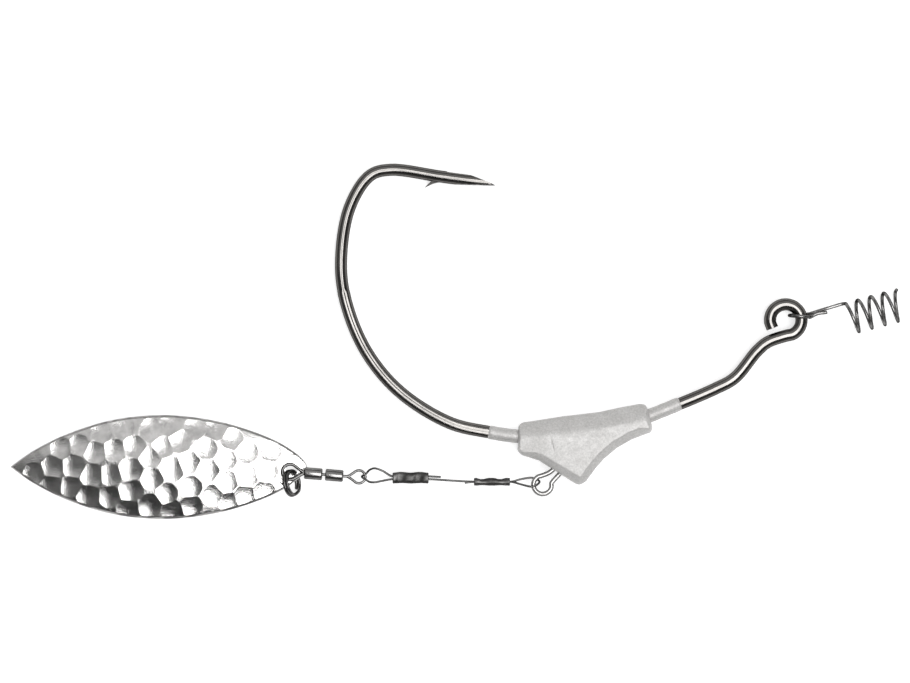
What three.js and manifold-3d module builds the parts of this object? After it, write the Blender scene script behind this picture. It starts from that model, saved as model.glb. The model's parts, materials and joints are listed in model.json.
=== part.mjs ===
// Underspin swimbait hook: a keel-weighted wide-gap hook with a screw lock on its eye, and a
// willow-leaf blade that trails from the keel weight on a cable leader and a double barrel swivel.
// Millimetres and degrees. The lure lies on its side: +Z is up from the surface it lies on, +X runs
// from the blade's tip to the screw lock, and +Y runs from the keel weight towards the hook's point.
import * as THREE from "three";
import { mergeVertices } from "three/addons/utils/BufferGeometryUtils.js";
import Module from "manifold-3d";

const wasm = await Module();
wasm.setup();

// Hook
const HOOK_WIRE = 1.05;
const FORGED_HALF = 0.86;
const FORGED_TOP = 9.2;
const FORGED_RIGHT = 6.1;
const POINT_HALF_WIDTH = 0.08;
const BARB_HALF_WIDTH = 0.35;
const EYE_CENTRE = [59.7, 3.8];
const EYE_RADIUS = 2.83;
const EYE_FOOT_ANGLE = 270;
const EYE_END_ANGLE = 572;

// Keel weight and its hanger
const WEIGHT_HALF = 3.5;
const WEIGHT_BEVEL_DEPTH = 1.7;
const WEIGHT_BEVEL_WIDTH = 1.3;
const CAST_GAP = 0.3;
const RIDGE_LEFT = [11, -18.3];
const RIDGE_RIGHT = [35, -14];
const UPPER_FACET_FOOT = [24, -13, 1.4];
const HANGER_WIRE = 0.375;
const HANGER_CENTRE = [15.9, -25.85];
const HANGER_RADIUS = 1.65;

// Leader
const CABLE = 0.2;
const STRAND_SPACING = 0.25;
const CRIMP_LENGTH = 6.45;
const CRIMP_HALF_WIDTH = 1;
const CRIMP_HALF_HEIGHT = 0.7;
const CRIMP_WALL = 0.35;
const FRONT_CRIMP = [6.8, -25.3];
const REAR_CRIMP = [-7.85, -24.6];
const LEADER_SLOPE = 1.4;

// Swivel, measured along its own axis from the middle of the centre pin
const SWIVEL_CENTRE = [-23.47, -24.02, 3.1];
const SWIVEL_TURN = 4.6;
const BARREL_RADIUS = 1.05;
const BARREL_BORE = 0.75;
const BARREL_END_WALL = 0.4;
const BARREL_CORNER = 0.22;
const BARREL_INNER_END = 0.28;
const BARREL_OUTER_END = 3.5;
const NECK_HOLE = 0.36;
const NECK = 0.24;
const HEAD_RADIUS = 0.6;
const HEAD_LENGTH = 0.6;
const HEAD_GAP = 0.14;
const FRONT_EYE = { centre: 6.34, side: 0.1, radius: 1.15, wire: 0.25, neck: 4.6 };
const REAR_EYE = { centre: 6.05, side: -0.02, radius: 1.4, wire: 0.3, neck: 3.85 };

// Split ring
const RING_CENTRE = [-29.24, -25.57, 2.42];
const RING_RADIUS = 2.2;
const RING_WIRE = 0.275;
const RING_COIL_OFFSET = 0.3;
const RING_LEAN = 9.5;
const RING_STAND = 63;
const RING_CROSSOVER = 200;
const RING_END_GAP = 35;
const RING_CROSS_SPAN = 30;

// Blade, measured from its tip
const BLADE_TIP = [-80.2, -22.7];
const BLADE_LENGTH = 53.6;
const BLADE_HALF_WIDTH = 9.35;
const BLADE_THICKNESS = 0.5;
const BLADE_LONG_SAG = 2.6;
const BLADE_CROSS_SAG = 1.6;
const BLADE_LIFT = 1.35;
const BLADE_HOLE = [50.9, -0.5];
const BLADE_HOLE_RADIUS = 1.1;

// Screw lock
const LOCK_WIRE = 0.27;
const LOCK_LOOP_RADIUS = 1.9;
const LOCK_LOOP_CENTRE = [62.25, 4.6];
const LOCK_LOOP_HEIGHT = 2.88;
const LOCK_AXIS_ANGLE = 14.9;
const LOCK_COIL_RADIUS = 2.78;
const LOCK_COIL_START = [70.98, 4.06, 3.06];
const LOCK_PITCH = 2.43;
const LOCK_TURNS = 4;

const BLACK_NICKEL = { color: 0x4a4744, roughness: 0.25, metalness: 1 };
const PEARL_PAINT = { color: 0xcfccc8, roughness: 0.5, metalness: 0.2 };
const STEEL = { color: 0x8c8a87, roughness: 0.3, metalness: 1 };
const DARK_STEEL = { color: 0x3b3836, roughness: 0.45, metalness: 1 };
const POLISHED_NICKEL = { color: 0xd8d6d2, roughness: 0.12, metalness: 1 };

const radians = THREE.MathUtils.degToRad;
const at = (x, y, z = 0) => new THREE.Vector3(x, y, z);

// Closed solid from a geometry, and geometry from a closed solid.
function solid(geometry) {
  const bare = geometry.clone();
  bare.deleteAttribute("normal");
  bare.deleteAttribute("uv");
  const welded = mergeVertices(bare, 1e-5);
  const vertProperties = new Float32Array(welded.attributes.position.array);
  const triVerts = new Uint32Array(welded.index.array);
  return new wasm.Manifold(new wasm.Mesh({ numProp: 3, vertProperties, triVerts }));
}

function toGeometry(manifold) {
  const mesh = manifold.getMesh();
  const geometry = new THREE.BufferGeometry();
  geometry.setAttribute("position", new THREE.BufferAttribute(mesh.vertProperties, 3));
  geometry.setIndex(new THREE.BufferAttribute(mesh.triVerts, 1));
  return geometry;
}

function piece(name, geometry, finish) {
  const mesh = new THREE.Mesh(geometry, new THREE.MeshStandardMaterial(finish));
  mesh.name = name;
  return mesh;
}

function smoothCurve(points) {
  return new THREE.CatmullRomCurve3(points, false, "centripetal");
}

function circle(radius, sides) {
  const corners = [];
  for (let i = 0; i < sides; i += 1) {
    const angle = ((i + 0.5) / sides) * 2 * Math.PI;
    corners.push(new THREE.Vector2(radius * Math.cos(angle), radius * Math.sin(angle)));
  }
  return new THREE.Shape(corners);
}

function tube(curve, radius, steps, sides = 8) {
  return new THREE.ExtrudeGeometry(circle(radius, sides), { steps, extrudePath: curve });
}

// A flat outline carried from z = -half to z = +half.
function slab(points, half) {
  const outline = new THREE.Shape(points.map(([x, y]) => new THREE.Vector2(x, y)));
  const geometry = new THREE.ExtrudeGeometry(outline, { depth: 2 * half, bevelEnabled: false });
  return geometry.translate(0, 0, -half);
}

// A large block whose inner face lies on the plane through three points, on the side away from z = 0.
function beyondPlane(a, b, c) {
  const size = 80;
  const along = b.clone().sub(a).normalize();
  const normal = along.clone().cross(c.clone().sub(a)).normalize();
  const outward = Math.sign(normal.z) === Math.sign(a.z) ? normal : normal.negate();
  const across = outward.clone().cross(along);
  const placing = new THREE.Matrix4().makeBasis(along, across, outward);
  placing.setPosition(a.clone().addScaledVector(outward, size / 2));
  return new THREE.BoxGeometry(size, size, size).applyMatrix4(placing);
}

function arcPoints(centre, radius, fromAngle, toAngle, stepAngle) {
  const count = Math.round(Math.abs(toAngle - fromAngle) / stepAngle);
  const points = [];
  for (let i = 0; i <= count; i += 1) {
    const angle = radians(fromAngle + ((toAngle - fromAngle) * i) / count);
    points.push(at(centre[0] + radius * Math.cos(angle), centre[1] + radius * Math.sin(angle)));
  }
  return points;
}

// Turned shape about the local X axis from a profile of [radius, x] corners.
function turned(profile, sides) {
  const corners = profile.map(([radius, x]) => new THREE.Vector2(radius, x));
  return new THREE.LatheGeometry(corners, sides).rotateZ(-Math.PI / 2);
}

// Hook -----------------------------------------------------------------------------------------

const SHANK_IN_WEIGHT = [at(6.4, -16.4), at(11.8, -17.15), at(20, -17.3), at(28, -15.9), at(35.2, -13.4)];

function hookCurve() {
  const bend = [
    at(9, 28.4), at(2, 29.15), at(-2.6, 29.75), at(-11.6, 30.95), at(-15.2, 29.9), at(-18.9, 24),
    at(-20.4, 13.9), at(-19.4, 6.7), at(-15.8, -1.9), at(-9.8, -9.1), at(-0.8, -14.7),
  ];
  const zBend = [at(46.9, -8.6), at(50.5, -6.6), at(54.5, -1.8), at(56.4, -0.2)];
  const eye = arcPoints(EYE_CENTRE, EYE_RADIUS, EYE_FOOT_ANGLE, EYE_END_ANGLE, 25);
  return smoothCurve([...bend, ...SHANK_IN_WEIGHT, ...zBend, ...eye]);
}

// The lower bend is forged: its two flanks are pressed flat.
function pressForgedFlanks(geometry) {
  const position = geometry.attributes.position;
  for (let i = 0; i < position.count; i += 1) {
    const forged = position.getY(i) < FORGED_TOP && position.getX(i) < FORGED_RIGHT;
    if (forged) {
      position.setZ(i, THREE.MathUtils.clamp(position.getZ(i), -FORGED_HALF, FORGED_HALF));
    }
  }
  return geometry;
}

// The cutting point: an outline cut, then one slanting facet on each flank.
function sharpen(wire) {
  const above = [[-1.3, 30.55], [3, 29.96], [6.4, 28.56], [7.3, 28.13], [14, 25], [14, 34], [-1.3, 34]];
  const below = [[0.13, 28.3], [7.3, 28.13], [14, 28.4], [14, 24], [0.13, 24]];
  let point = wire.subtract(solid(slab(above, 3))).subtract(solid(slab(below, 3)));
  for (const side of [1, -1]) {
    const heel = at(-1.9, 30, side * HOOK_WIRE);
    const belly = at(2, 28.25, side * HOOK_WIRE);
    const tip = at(7.3, 28.13, side * POINT_HALF_WIDTH);
    point = point.subtract(solid(beyondPlane(heel, belly, tip)));
  }
  return point;
}

function hook() {
  const wire = solid(pressForgedFlanks(tube(hookCurve(), HOOK_WIRE, 140)));
  const barb = solid(slab([[-3.6, 29.3], [-5.4, 27.66], [-2.4, 28.45], [-1.4, 29.2]], BARB_HALF_WIDTH));
  return piece("hook", toGeometry(sharpen(wire).add(barb)), BLACK_NICKEL);
}

// Keel weight and hanger -----------------------------------------------------------------------

function hangerCurve() {
  const ring = arcPoints(HANGER_CENTRE, HANGER_RADIUS, 95, 370, 27);
  const firstLeg = [at(20.2, -21.1), at(18.4, -22.6), at(17, -23.7)];
  const secondLeg = [at(18, -24.95), at(18.9, -23.95), at(20.9, -21.9)];
  return smoothCurve([...firstLeg, ...ring, ...secondLeg]);
}

function weightBlank() {
  const outline = [
    [11.3, -20.4], [15.4, -21.6], [22.5, -26.1], [26.6, -21.4], [29.8, -18.8],
    [35.9, -16.2], [34.6, -11.2], [26, -12.8], [11.6, -14.7],
  ];
  const depth = 2 * (WEIGHT_HALF - WEIGHT_BEVEL_DEPTH);
  const face = new THREE.Shape(outline.map(([x, y]) => new THREE.Vector2(x, y)));
  const geometry = new THREE.ExtrudeGeometry(face, {
    depth,
    bevelThickness: WEIGHT_BEVEL_DEPTH,
    bevelSize: WEIGHT_BEVEL_WIDTH,
    bevelOffset: -WEIGHT_BEVEL_WIDTH,
    bevelSegments: 1,
  });
  return geometry.translate(0, 0, -depth / 2);
}

function keelWeight() {
  let casting = solid(weightBlank());
  for (const side of [1, -1]) {
    const left = at(...RIDGE_LEFT, side * WEIGHT_HALF);
    const right = at(...RIDGE_RIGHT, side * WEIGHT_HALF);
    const [x, y, z] = UPPER_FACET_FOOT;
    casting = casting.subtract(solid(beyondPlane(left, right, at(x, y, side * z))));
  }
  const shank = smoothCurve([at(-0.8, -14.7), ...SHANK_IN_WEIGHT, at(46.9, -8.6)]);
  const channel = solid(tube(shank, HOOK_WIRE + CAST_GAP, 40));
  const legs = solid(tube(hangerCurve(), HANGER_WIRE + CAST_GAP, 40));
  return piece("keel_weight", toGeometry(casting.subtract(channel).subtract(legs)), PEARL_PAINT);
}

function weightHanger() {
  return piece("weight_hanger", tube(hangerCurve(), HANGER_WIRE, 36), PEARL_PAINT);
}

// Leader: one cable, looped back on itself at each end through a crimp sleeve ------------------

function leaderCable() {
  const rearTag = [at(-2.4, -24.45), at(-4.6, -24.35)];
  const rearLoop = [
    at(-11.1, -24.35), at(-12.9, -23.35), at(-14.4, -22.9), at(-15.3, -23.25, -0.42),
    at(-15.95, -23.95, -0.62), at(-16.62, -24.4), at(-15.95, -24.85, 0.62), at(-15.3, -25.3, 0.42),
    at(-14.4, -25.42), at(-12.9, -25.15), at(-11.1, -24.85),
  ];
  const run = [at(-4.6, -24.85), at(-0.5, -25.1), at(3.5, -25.3, -STRAND_SPACING)];
  const frontLoop = [
    at(10.2, -25.3, -STRAND_SPACING), at(12, -24.85, -0.5), at(13.9, -24.6, -0.75),
    at(14.7, -24.8, -0.62), at(15.35, -25.3), at(14.75, -25.9, 0.62), at(13.9, -26.15, 0.75),
    at(12, -25.75, 0.5), at(10.2, -25.3, STRAND_SPACING),
  ];
  const frontTag = [at(3.5, -25.3, STRAND_SPACING), at(1.9, -25.5, STRAND_SPACING)];
  const route = smoothCurve([...rearTag, ...rearLoop, ...run, ...frontLoop, ...frontTag]);
  return piece("leader_cable", tube(route, CABLE, 110), DARK_STEEL);
}

// An oval sleeve along X; the strands lie side by side across its wide way.
function crimpSleeve(name, centre, roll) {
  const outer = new THREE.Shape();
  outer.absellipse(0, 0, CRIMP_HALF_WIDTH, CRIMP_HALF_HEIGHT, 0, 2 * Math.PI, false);
  const bore = new THREE.Path();
  const boreWidth = CRIMP_HALF_WIDTH - CRIMP_WALL;
  const boreHeight = CRIMP_HALF_HEIGHT - CRIMP_WALL;
  bore.absellipse(0, 0, boreWidth, boreHeight, 0, 2 * Math.PI, true);
  outer.holes.push(bore);
  const settings = { depth: CRIMP_LENGTH, bevelEnabled: false, curveSegments: 16 };
  const geometry = new THREE.ExtrudeGeometry(outer, settings);
  geometry.translate(0, 0, -CRIMP_LENGTH / 2).rotateY(Math.PI / 2);
  const mesh = piece(name, geometry, DARK_STEEL);
  mesh.position.set(centre[0], centre[1], 0);
  mesh.rotation.x = radians(roll);
  return mesh;
}

// Swivel ---------------------------------------------------------------------------------------

function swivelBarrel(name, direction) {
  const near = BARREL_INNER_END;
  const far = BARREL_OUTER_END;
  const profile = [
    [NECK_HOLE, near], [BARREL_RADIUS - BARREL_CORNER, near], [BARREL_RADIUS, near + BARREL_CORNER],
    [BARREL_RADIUS, far - BARREL_CORNER], [BARREL_RADIUS - BARREL_CORNER, far], [NECK_HOLE, far],
    [NECK_HOLE, far - BARREL_END_WALL], [BARREL_BORE, far - BARREL_END_WALL],
    [BARREL_BORE, near + BARREL_END_WALL], [NECK_HOLE, near + BARREL_END_WALL], [NECK_HOLE, near],
  ];
  const mesh = piece(name, turned(profile, 16), STEEL);
  mesh.rotation.y = direction > 0 ? 0 : Math.PI;
  return mesh;
}

function swivelCenterPin() {
  const headStart = BARREL_INNER_END + BARREL_END_WALL + HEAD_GAP;
  const headEnd = headStart + HEAD_LENGTH;
  const profile = [
    [0, -headEnd], [HEAD_RADIUS, -headEnd], [HEAD_RADIUS, -headStart], [NECK, -headStart],
    [NECK, headStart], [HEAD_RADIUS, headStart], [HEAD_RADIUS, headEnd], [0, headEnd],
  ];
  return piece("swivel_center_pin", turned(profile, 12), STEEL);
}

// An eye of bent wire on a headed pin: the head turns inside its barrel.
function swivelEye(name, direction, eye) {
  const headEnd = BARREL_OUTER_END - BARREL_END_WALL - HEAD_GAP;
  const headStart = headEnd - HEAD_LENGTH;
  const pin = [
    [0, headStart], [HEAD_RADIUS, headStart], [HEAD_RADIUS, headEnd], [NECK, headEnd],
    [NECK, eye.neck + 0.2], [0, eye.neck + 0.2],
  ];
  let body = solid(turned(pin, 12));
  const reach = eye.centre - eye.neck;
  const tangentAngle = 180 - (Math.acos(eye.radius / reach) * 180) / Math.PI;
  const overlap = 6;
  const centre = [eye.centre, eye.side];
  const arc = arcPoints(centre, eye.radius, tangentAngle + overlap, -tangentAngle - overlap, 20);
  body = body.add(solid(tube(smoothCurve(arc), eye.wire, 22)));
  for (const side of [1, -1]) {
    const angle = radians(side * tangentAngle);
    const x = eye.centre + eye.radius * Math.cos(angle);
    const y = eye.side + eye.radius * Math.sin(angle);
    const leg = new THREE.LineCurve3(at(eye.neck - 0.1, 0), at(x, y));
    body = body.add(solid(tube(leg, eye.wire, 1)));
  }
  const mesh = piece(name, toGeometry(body), STEEL);
  mesh.rotation.y = direction > 0 ? 0 : Math.PI;
  return mesh;
}

// Split ring: two coils side by side, joined by one short crossover ----------------------------

function splitRing() {
  const up = at(-Math.sin(radians(RING_LEAN)), Math.cos(radians(RING_LEAN)));
  const side = at(-up.y, up.x).multiplyScalar(Math.cos(radians(RING_STAND)));
  const front = side.add(at(0, 0, Math.sin(radians(RING_STAND))));
  const normal = up.clone().cross(front);
  const points = [];
  const steps = 40;
  for (let i = 0; i <= steps; i += 1) {
    const turn = RING_END_GAP + ((720 - 2 * RING_END_GAP) * i) / steps;
    const crossed = THREE.MathUtils.smoothstep(turn, 360 - RING_CROSS_SPAN, 360 + RING_CROSS_SPAN);
    const angle = radians(RING_CROSSOVER + turn);
    const point = at(...RING_CENTRE);
    point.addScaledVector(up, RING_RADIUS * Math.cos(angle));
    point.addScaledVector(front, RING_RADIUS * Math.sin(angle));
    point.addScaledVector(normal, RING_COIL_OFFSET * (2 * crossed - 1));
    points.push(point);
  }
  return piece("split_ring", tube(smoothCurve(points), RING_WIRE, 52), STEEL);
}

// Blade: a willow leaf cut from a sheet that is dished both ways -------------------------------

function bladeOutline() {
  const rear = [[0, 0], [4.3, 2.95], [10.8, 6.1], [19, 8.55]];
  const front = [[28, BLADE_HALF_WIDTH], [37, 8.35], [45, 6], [50.6, 3.2]];
  const half = [...rear, ...front];
  const upper = half.map(([x, y]) => new THREE.Vector2(x, y));
  const lower = half.map(([x, y]) => new THREE.Vector2(x, -y)).reverse();
  const outline = new THREE.SplineCurve([...upper, new THREE.Vector2(BLADE_LENGTH, 0), ...lower]);
  return outline.getPoints(64).slice(0, -1).map((p) => [p.x, p.y]).reverse();
}

function dishedSheet() {
  const middle = BLADE_LENGTH / 2;
  const margin = 1.5;
  const spine = [];
  for (let i = 0; i <= 8; i += 1) {
    const x = -margin + ((BLADE_LENGTH + 2 * margin) * i) / 8;
    spine.push(at(x, 0, -BLADE_LONG_SAG * ((x - middle) / middle) ** 2));
  }
  const sectionPoints = 12;
  const edge = BLADE_HALF_WIDTH + margin;
  const upperFace = [];
  const lowerFace = [];
  for (let i = 0; i <= sectionPoints; i += 1) {
    const across = edge * ((2 * i) / sectionPoints - 1);
    const drop = BLADE_CROSS_SAG * (across / BLADE_HALF_WIDTH) ** 2;
    upperFace.push(new THREE.Vector2(across, drop - BLADE_THICKNESS / 2));
    lowerFace.unshift(new THREE.Vector2(across, drop + BLADE_THICKNESS / 2));
  }
  const section = new THREE.Shape([...upperFace, ...lowerFace]);
  return new THREE.ExtrudeGeometry(section, { steps: 18, extrudePath: smoothCurve(spine) });
}

function blade() {
  const hole = new THREE.CylinderGeometry(BLADE_HOLE_RADIUS, BLADE_HOLE_RADIUS, 20, 16).rotateX(Math.PI / 2);
  hole.translate(BLADE_HOLE[0], BLADE_HOLE[1], 0);
  const leaf = solid(dishedSheet()).intersect(solid(slab(bladeOutline(), 12))).subtract(solid(hole));
  const mesh = piece("blade", toGeometry(leaf), POLISHED_NICKEL);
  mesh.rotation.y = -radians(BLADE_LIFT);
  mesh.position.set(...BLADE_TIP, BLADE_LONG_SAG + BLADE_THICKNESS / 2);
  return mesh;
}

// Screw lock: one wire with a closed loop round the hook's eye, a short tag, a shaft and a coil --

function screwLock() {
  const [loopX, loopY] = LOCK_LOOP_CENTRE;
  const height = LOCK_LOOP_HEIGHT;
  const tag = [at(67.15, 5.15, height + 0.3), at(65.4, 4.95, height + 0.32)];
  const loop = [];
  for (let angle = 20; angle <= 340; angle += 20) {
    const x = loopX + LOCK_LOOP_RADIUS * Math.cos(radians(angle));
    const rise = 0.3 * ((angle - 180) / 160);
    loop.push(at(x, loopY + rise, height + LOCK_LOOP_RADIUS * Math.sin(radians(angle))));
  }
  const shaft = [at(65.4, 5.35, height - 0.32), at(67.2, 5.9, height)];
  const along = at(Math.cos(radians(LOCK_AXIS_ANGLE)), Math.sin(radians(LOCK_AXIS_ANGLE)));
  const up = at(-along.y, along.x);
  const front = at(0, 0, 1);
  const coil = [];
  for (let step = 0; step <= LOCK_TURNS * 12; step += 1) {
    const turn = step / 12;
    const angle = turn * 2 * Math.PI;
    const point = at(...LOCK_COIL_START).addScaledVector(along, LOCK_PITCH * turn);
    point.addScaledVector(up, LOCK_COIL_RADIUS * Math.cos(angle));
    point.addScaledVector(front, LOCK_COIL_RADIUS * Math.sin(angle));
    coil.push(point);
  }
  const route = smoothCurve([...tag, ...loop, ...shaft, ...coil]);
  return piece("screw_lock", tube(route, LOCK_WIRE, 120, 6), STEEL);
}

// Assembly -------------------------------------------------------------------------------------

// The hook lies on a ridge of the keel weight and the top of its bend, so its plane leans a little.
function hookAssembly() {
  const group = new THREE.Group();
  const ridge = at(RIDGE_RIGHT[0] - RIDGE_LEFT[0], RIDGE_RIGHT[1] - RIDGE_LEFT[1]).normalize();
  const bendTop = at(-13.4, 30.8);
  const away = at(-ridge.y, ridge.x);
  const rise = WEIGHT_HALF - HOOK_WIRE;
  const reach = bendTop.sub(at(...RIDGE_LEFT)).dot(away);
  const lean = Math.atan2(rise, reach);
  group.quaternion.setFromAxisAngle(ridge, -lean);
  const pivot = at(...RIDGE_LEFT, -WEIGHT_HALF);
  group.position.copy(pivot).sub(pivot.clone().applyQuaternion(group.quaternion));
  group.position.z += WEIGHT_HALF;
  group.position.addScaledVector(away, -WEIGHT_HALF * Math.sin(lean));
  group.add(hook(), keelWeight(), weightHanger());
  return group;
}

function leaderAssembly(hangerHeight) {
  const group = new THREE.Group();
  const slope = radians(LEADER_SLOPE);
  const pivot = at(HANGER_CENTRE[0], 0);
  group.rotation.y = -slope;
  group.position.copy(pivot).sub(pivot.clone().applyEuler(group.rotation));
  group.position.z += hangerHeight;
  group.add(leaderCable());
  group.add(crimpSleeve("front_crimp_sleeve", FRONT_CRIMP, 0));
  group.add(crimpSleeve("rear_crimp_sleeve", REAR_CRIMP, 90));
  return group;
}

function swivelAssembly() {
  const group = new THREE.Group();
  group.position.set(...SWIVEL_CENTRE);
  group.rotation.z = -radians(SWIVEL_TURN);
  group.add(swivelEye("swivel_front_eye", 1, FRONT_EYE), swivelBarrel("swivel_front_barrel", 1));
  group.add(swivelCenterPin());
  group.add(swivelBarrel("swivel_rear_barrel", -1), swivelEye("swivel_rear_eye", -1, REAR_EYE));
  return group;
}

const lure = new THREE.Group();
const hookSide = hookAssembly();
hookSide.updateMatrixWorld(true);
const hangerHeight = hookSide.localToWorld(at(...HANGER_CENTRE)).z;
lure.add(hookSide, leaderAssembly(hangerHeight), swivelAssembly(), splitRing(), blade(), screwLock());

// The origin is the bottom centre of the whole lure's box.
const extent = new THREE.Box3().setFromObject(lure, true);
const middle = extent.getCenter(new THREE.Vector3());
lure.position.set(-middle.x, -middle.y, -extent.min.z);

export default lure;
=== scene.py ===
"""Looks of the underspin swimbait hook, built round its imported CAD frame. Sizes are millimetres
until a mesh is made, and the lure lies on its side as in the frame: +Z up, the point towards +Y."""

import json
import math

import bmesh
import bpy
import numpy as np
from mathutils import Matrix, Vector


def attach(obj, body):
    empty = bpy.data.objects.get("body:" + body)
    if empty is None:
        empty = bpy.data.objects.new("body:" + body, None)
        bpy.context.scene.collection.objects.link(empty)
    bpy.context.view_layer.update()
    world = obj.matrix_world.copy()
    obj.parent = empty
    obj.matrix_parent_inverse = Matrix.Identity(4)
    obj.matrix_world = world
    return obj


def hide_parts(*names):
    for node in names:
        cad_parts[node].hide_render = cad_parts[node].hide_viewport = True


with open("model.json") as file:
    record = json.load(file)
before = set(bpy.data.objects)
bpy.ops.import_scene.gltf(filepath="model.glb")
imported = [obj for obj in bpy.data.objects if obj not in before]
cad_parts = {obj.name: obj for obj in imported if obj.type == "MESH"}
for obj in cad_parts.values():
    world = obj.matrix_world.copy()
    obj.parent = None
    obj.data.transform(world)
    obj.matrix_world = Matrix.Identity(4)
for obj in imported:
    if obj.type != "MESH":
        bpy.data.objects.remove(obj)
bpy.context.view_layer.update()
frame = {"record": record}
MM = 0.001
rng = np.random.default_rng(7)

# Driving sizes, as in the CAD source ---------------------------------------------------------

HOOK_WIRE = 1.1
FORGED_HALF = 0.975
PAINT_RADIUS = 1.23
EYE_CENTRE = (59.7, 3.8)
EYE_RADIUS = 2.83
WEIGHT_HALF = 3.5
WEIGHT_EDGE_HALF = 1.8
WEIGHT_BEVEL_WIDTH = 1.3
RIDGE_LEFT = (11, -18.3)
RIDGE_RIGHT = (35, -14)
HANGER_CENTRE = (15.9, -25.85)
HANGER_RADIUS = 1.65
HANGER_WIRE = 0.43
CABLE = 0.19
STRANDS = 6
STRAND_LAY = 2.2
STRAND_SPACING = 0.25
LEADER_SLOPE = 1.4
CRIMP_LENGTH = 6.45
CRIMP_HALF_WIDTH = 0.98
CRIMP_HALF_HEIGHT = 0.7
CRIMP_BORE = (0.68, 0.36)
SWIVEL_CENTRE = (-23.47, -24.02, 3.1)
BARREL = {"radius": 1.05, "bore": 0.75, "wall": 0.4, "near": 0.28, "far": 3.5, "hole": 0.36}
NECK = 0.24
HEAD = {"radius": 0.6, "length": 0.6, "gap": 0.14}
FRONT_EYE = {"centre": 6.34, "side": 0.1, "radius": 1.16, "wire": 0.235, "neck": 4.6}
REAR_EYE = {"centre": 6.05, "side": -0.02, "radius": 1.4, "wire": 0.3, "neck": 3.85}
RING = {"radius": 2.2, "wire": 0.275, "offset": 0.3, "lean": 9.5, "stand": 63, "crossover": 200}
RING_CENTRE = (-29.24, -25.57, 2.42)
BLADE_TIP = (-80.2, -22.7)
BLADE_LENGTH = 53.6
BLADE_HALF_WIDTH = 9.35
BLADE_THICKNESS = 0.5
BLADE_LONG_SAG = 2.6
BLADE_CROSS_SAG = 1.6
BLADE_LIFT = 1.35
BLADE_HOLE = (50.9, -0.5)
BLADE_HOLE_RADIUS = 1.1
LOCK_WIRE = 0.31
LOCK_LOOP = {"centre": (62.25, 4.6), "radius": 1.9, "height": 2.88}
LOCK_COIL = {"start": (70.98, 4.06, 3.06), "radius": 2.78, "pitch": 2.43, "turns": 4, "angle": 14.9}


def joint(name):
    """Position in millimetres and axis of a joint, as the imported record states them."""
    for row in frame["record"]["behaviour"]["joints"]:
        if row["name"] == name:
            return np.array(row["pos_m"]) / MM, np.array(row["axis"])
    raise KeyError(name)


def place(columns, origin):
    """A 4 x 4 matrix from three axes and an origin."""
    matrix = np.eye(4)
    matrix[:3, :3] = np.array(columns).T
    matrix[:3, 3] = origin
    return matrix


def hook_plane():
    """From the hook's own plane to the frame, through the two rings that the record's joints state."""
    eye, normal = joint("screw_lock_swing")
    hanger, _ = joint("leader_swing")
    drawn = np.array(EYE_CENTRE) - np.array(HANGER_CENTRE)
    drawn_angle = math.atan2(drawn[1], drawn[0])
    along = (eye - hanger) / np.linalg.norm(eye - hanger)
    across = np.cross(normal, along)
    x_axis = math.cos(drawn_angle) * along - math.sin(drawn_angle) * across
    y_axis = math.sin(drawn_angle) * along + math.cos(drawn_angle) * across
    origin = eye - EYE_CENTRE[0] * x_axis - EYE_CENTRE[1] * y_axis
    return place((x_axis, y_axis, normal), origin)


def swivel_place():
    centre, axis = joint("center_pin_spin")
    return place((axis, np.cross((0, 0, 1), axis), (0, 0, 1)), centre)


HOOK_PLANE = hook_plane()
SWIVEL_PLACE = swivel_place()
SHIFT = joint("center_pin_spin")[0] - np.array(SWIVEL_CENTRE)
TABLE_PLACE = place(((1, 0, 0), (0, 1, 0), (0, 0, 1)), SHIFT)


def leader_place():
    slope = math.radians(LEADER_SLOPE)
    x_axis = np.array((math.cos(slope), 0, math.sin(slope)))
    z_axis = np.array((-math.sin(slope), 0, math.cos(slope)))
    hanger = (HOOK_PLANE @ np.array((*HANGER_CENTRE, 0, 1)))[:3]
    pivot = np.array((HANGER_CENTRE[0] + SHIFT[0], SHIFT[1], hanger[2]))
    return place((x_axis, (0, 1, 0), z_axis), pivot - HANGER_CENTRE[0] * x_axis)


# Mesh helpers --------------------------------------------------------------------------------


def spline(points, spacing, closed=False):
    """Even steps along a centripetal Catmull-Rom curve through the points."""
    p = np.array([(*q, 0) if len(q) == 2 else q for q in points], float)
    if closed:
        p = np.vstack([p[-1:], p, p[:2]])
    else:
        p = np.vstack([2 * p[0] - p[1], p, 2 * p[-1] - p[-2]])
    samples = []
    for p0, p1, p2, p3 in zip(p, p[1:], p[2:], p[3:]):
        d0, d1, d2 = (max(np.linalg.norm(b - a), 1e-6) ** 0.5 for a, b in ((p0, p1), (p1, p2), (p2, p3)))
        m1 = ((p1 - p0) / d0 - (p2 - p0) / (d0 + d1) + (p2 - p1) / d1) * d1
        m2 = ((p2 - p1) / d1 - (p3 - p1) / (d1 + d2) + (p3 - p2) / d2) * d1
        t = np.linspace(0, 1, 40, endpoint=False)[:, None]
        cubic = 2 * p1 - 2 * p2 + m1 + m2
        square = -3 * p1 + 3 * p2 - 2 * m1 - m2
        samples.append(p1 + m1 * t + square * t**2 + cubic * t**3)
    dense = np.vstack([*samples, p[-2:-1]])
    steps = even_steps(dense, spacing)
    return steps[:-1] if closed else steps


def even_steps(dense, spacing):
    length = np.concatenate([[0], np.cumsum(np.linalg.norm(np.diff(dense, axis=0), axis=1))])
    stations = np.linspace(0, length[-1], max(2, int(length[-1] / spacing)) + 1)
    return np.column_stack([np.interp(stations, length, dense[:, k]) for k in range(3)])


def arc(centre, radius, start, end, step):
    angles = np.radians(np.linspace(start, end, int(round(abs(end - start) / step)) + 1))
    return [(centre[0] + radius * math.cos(a), centre[1] + radius * math.sin(a), 0) for a in angles]


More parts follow.
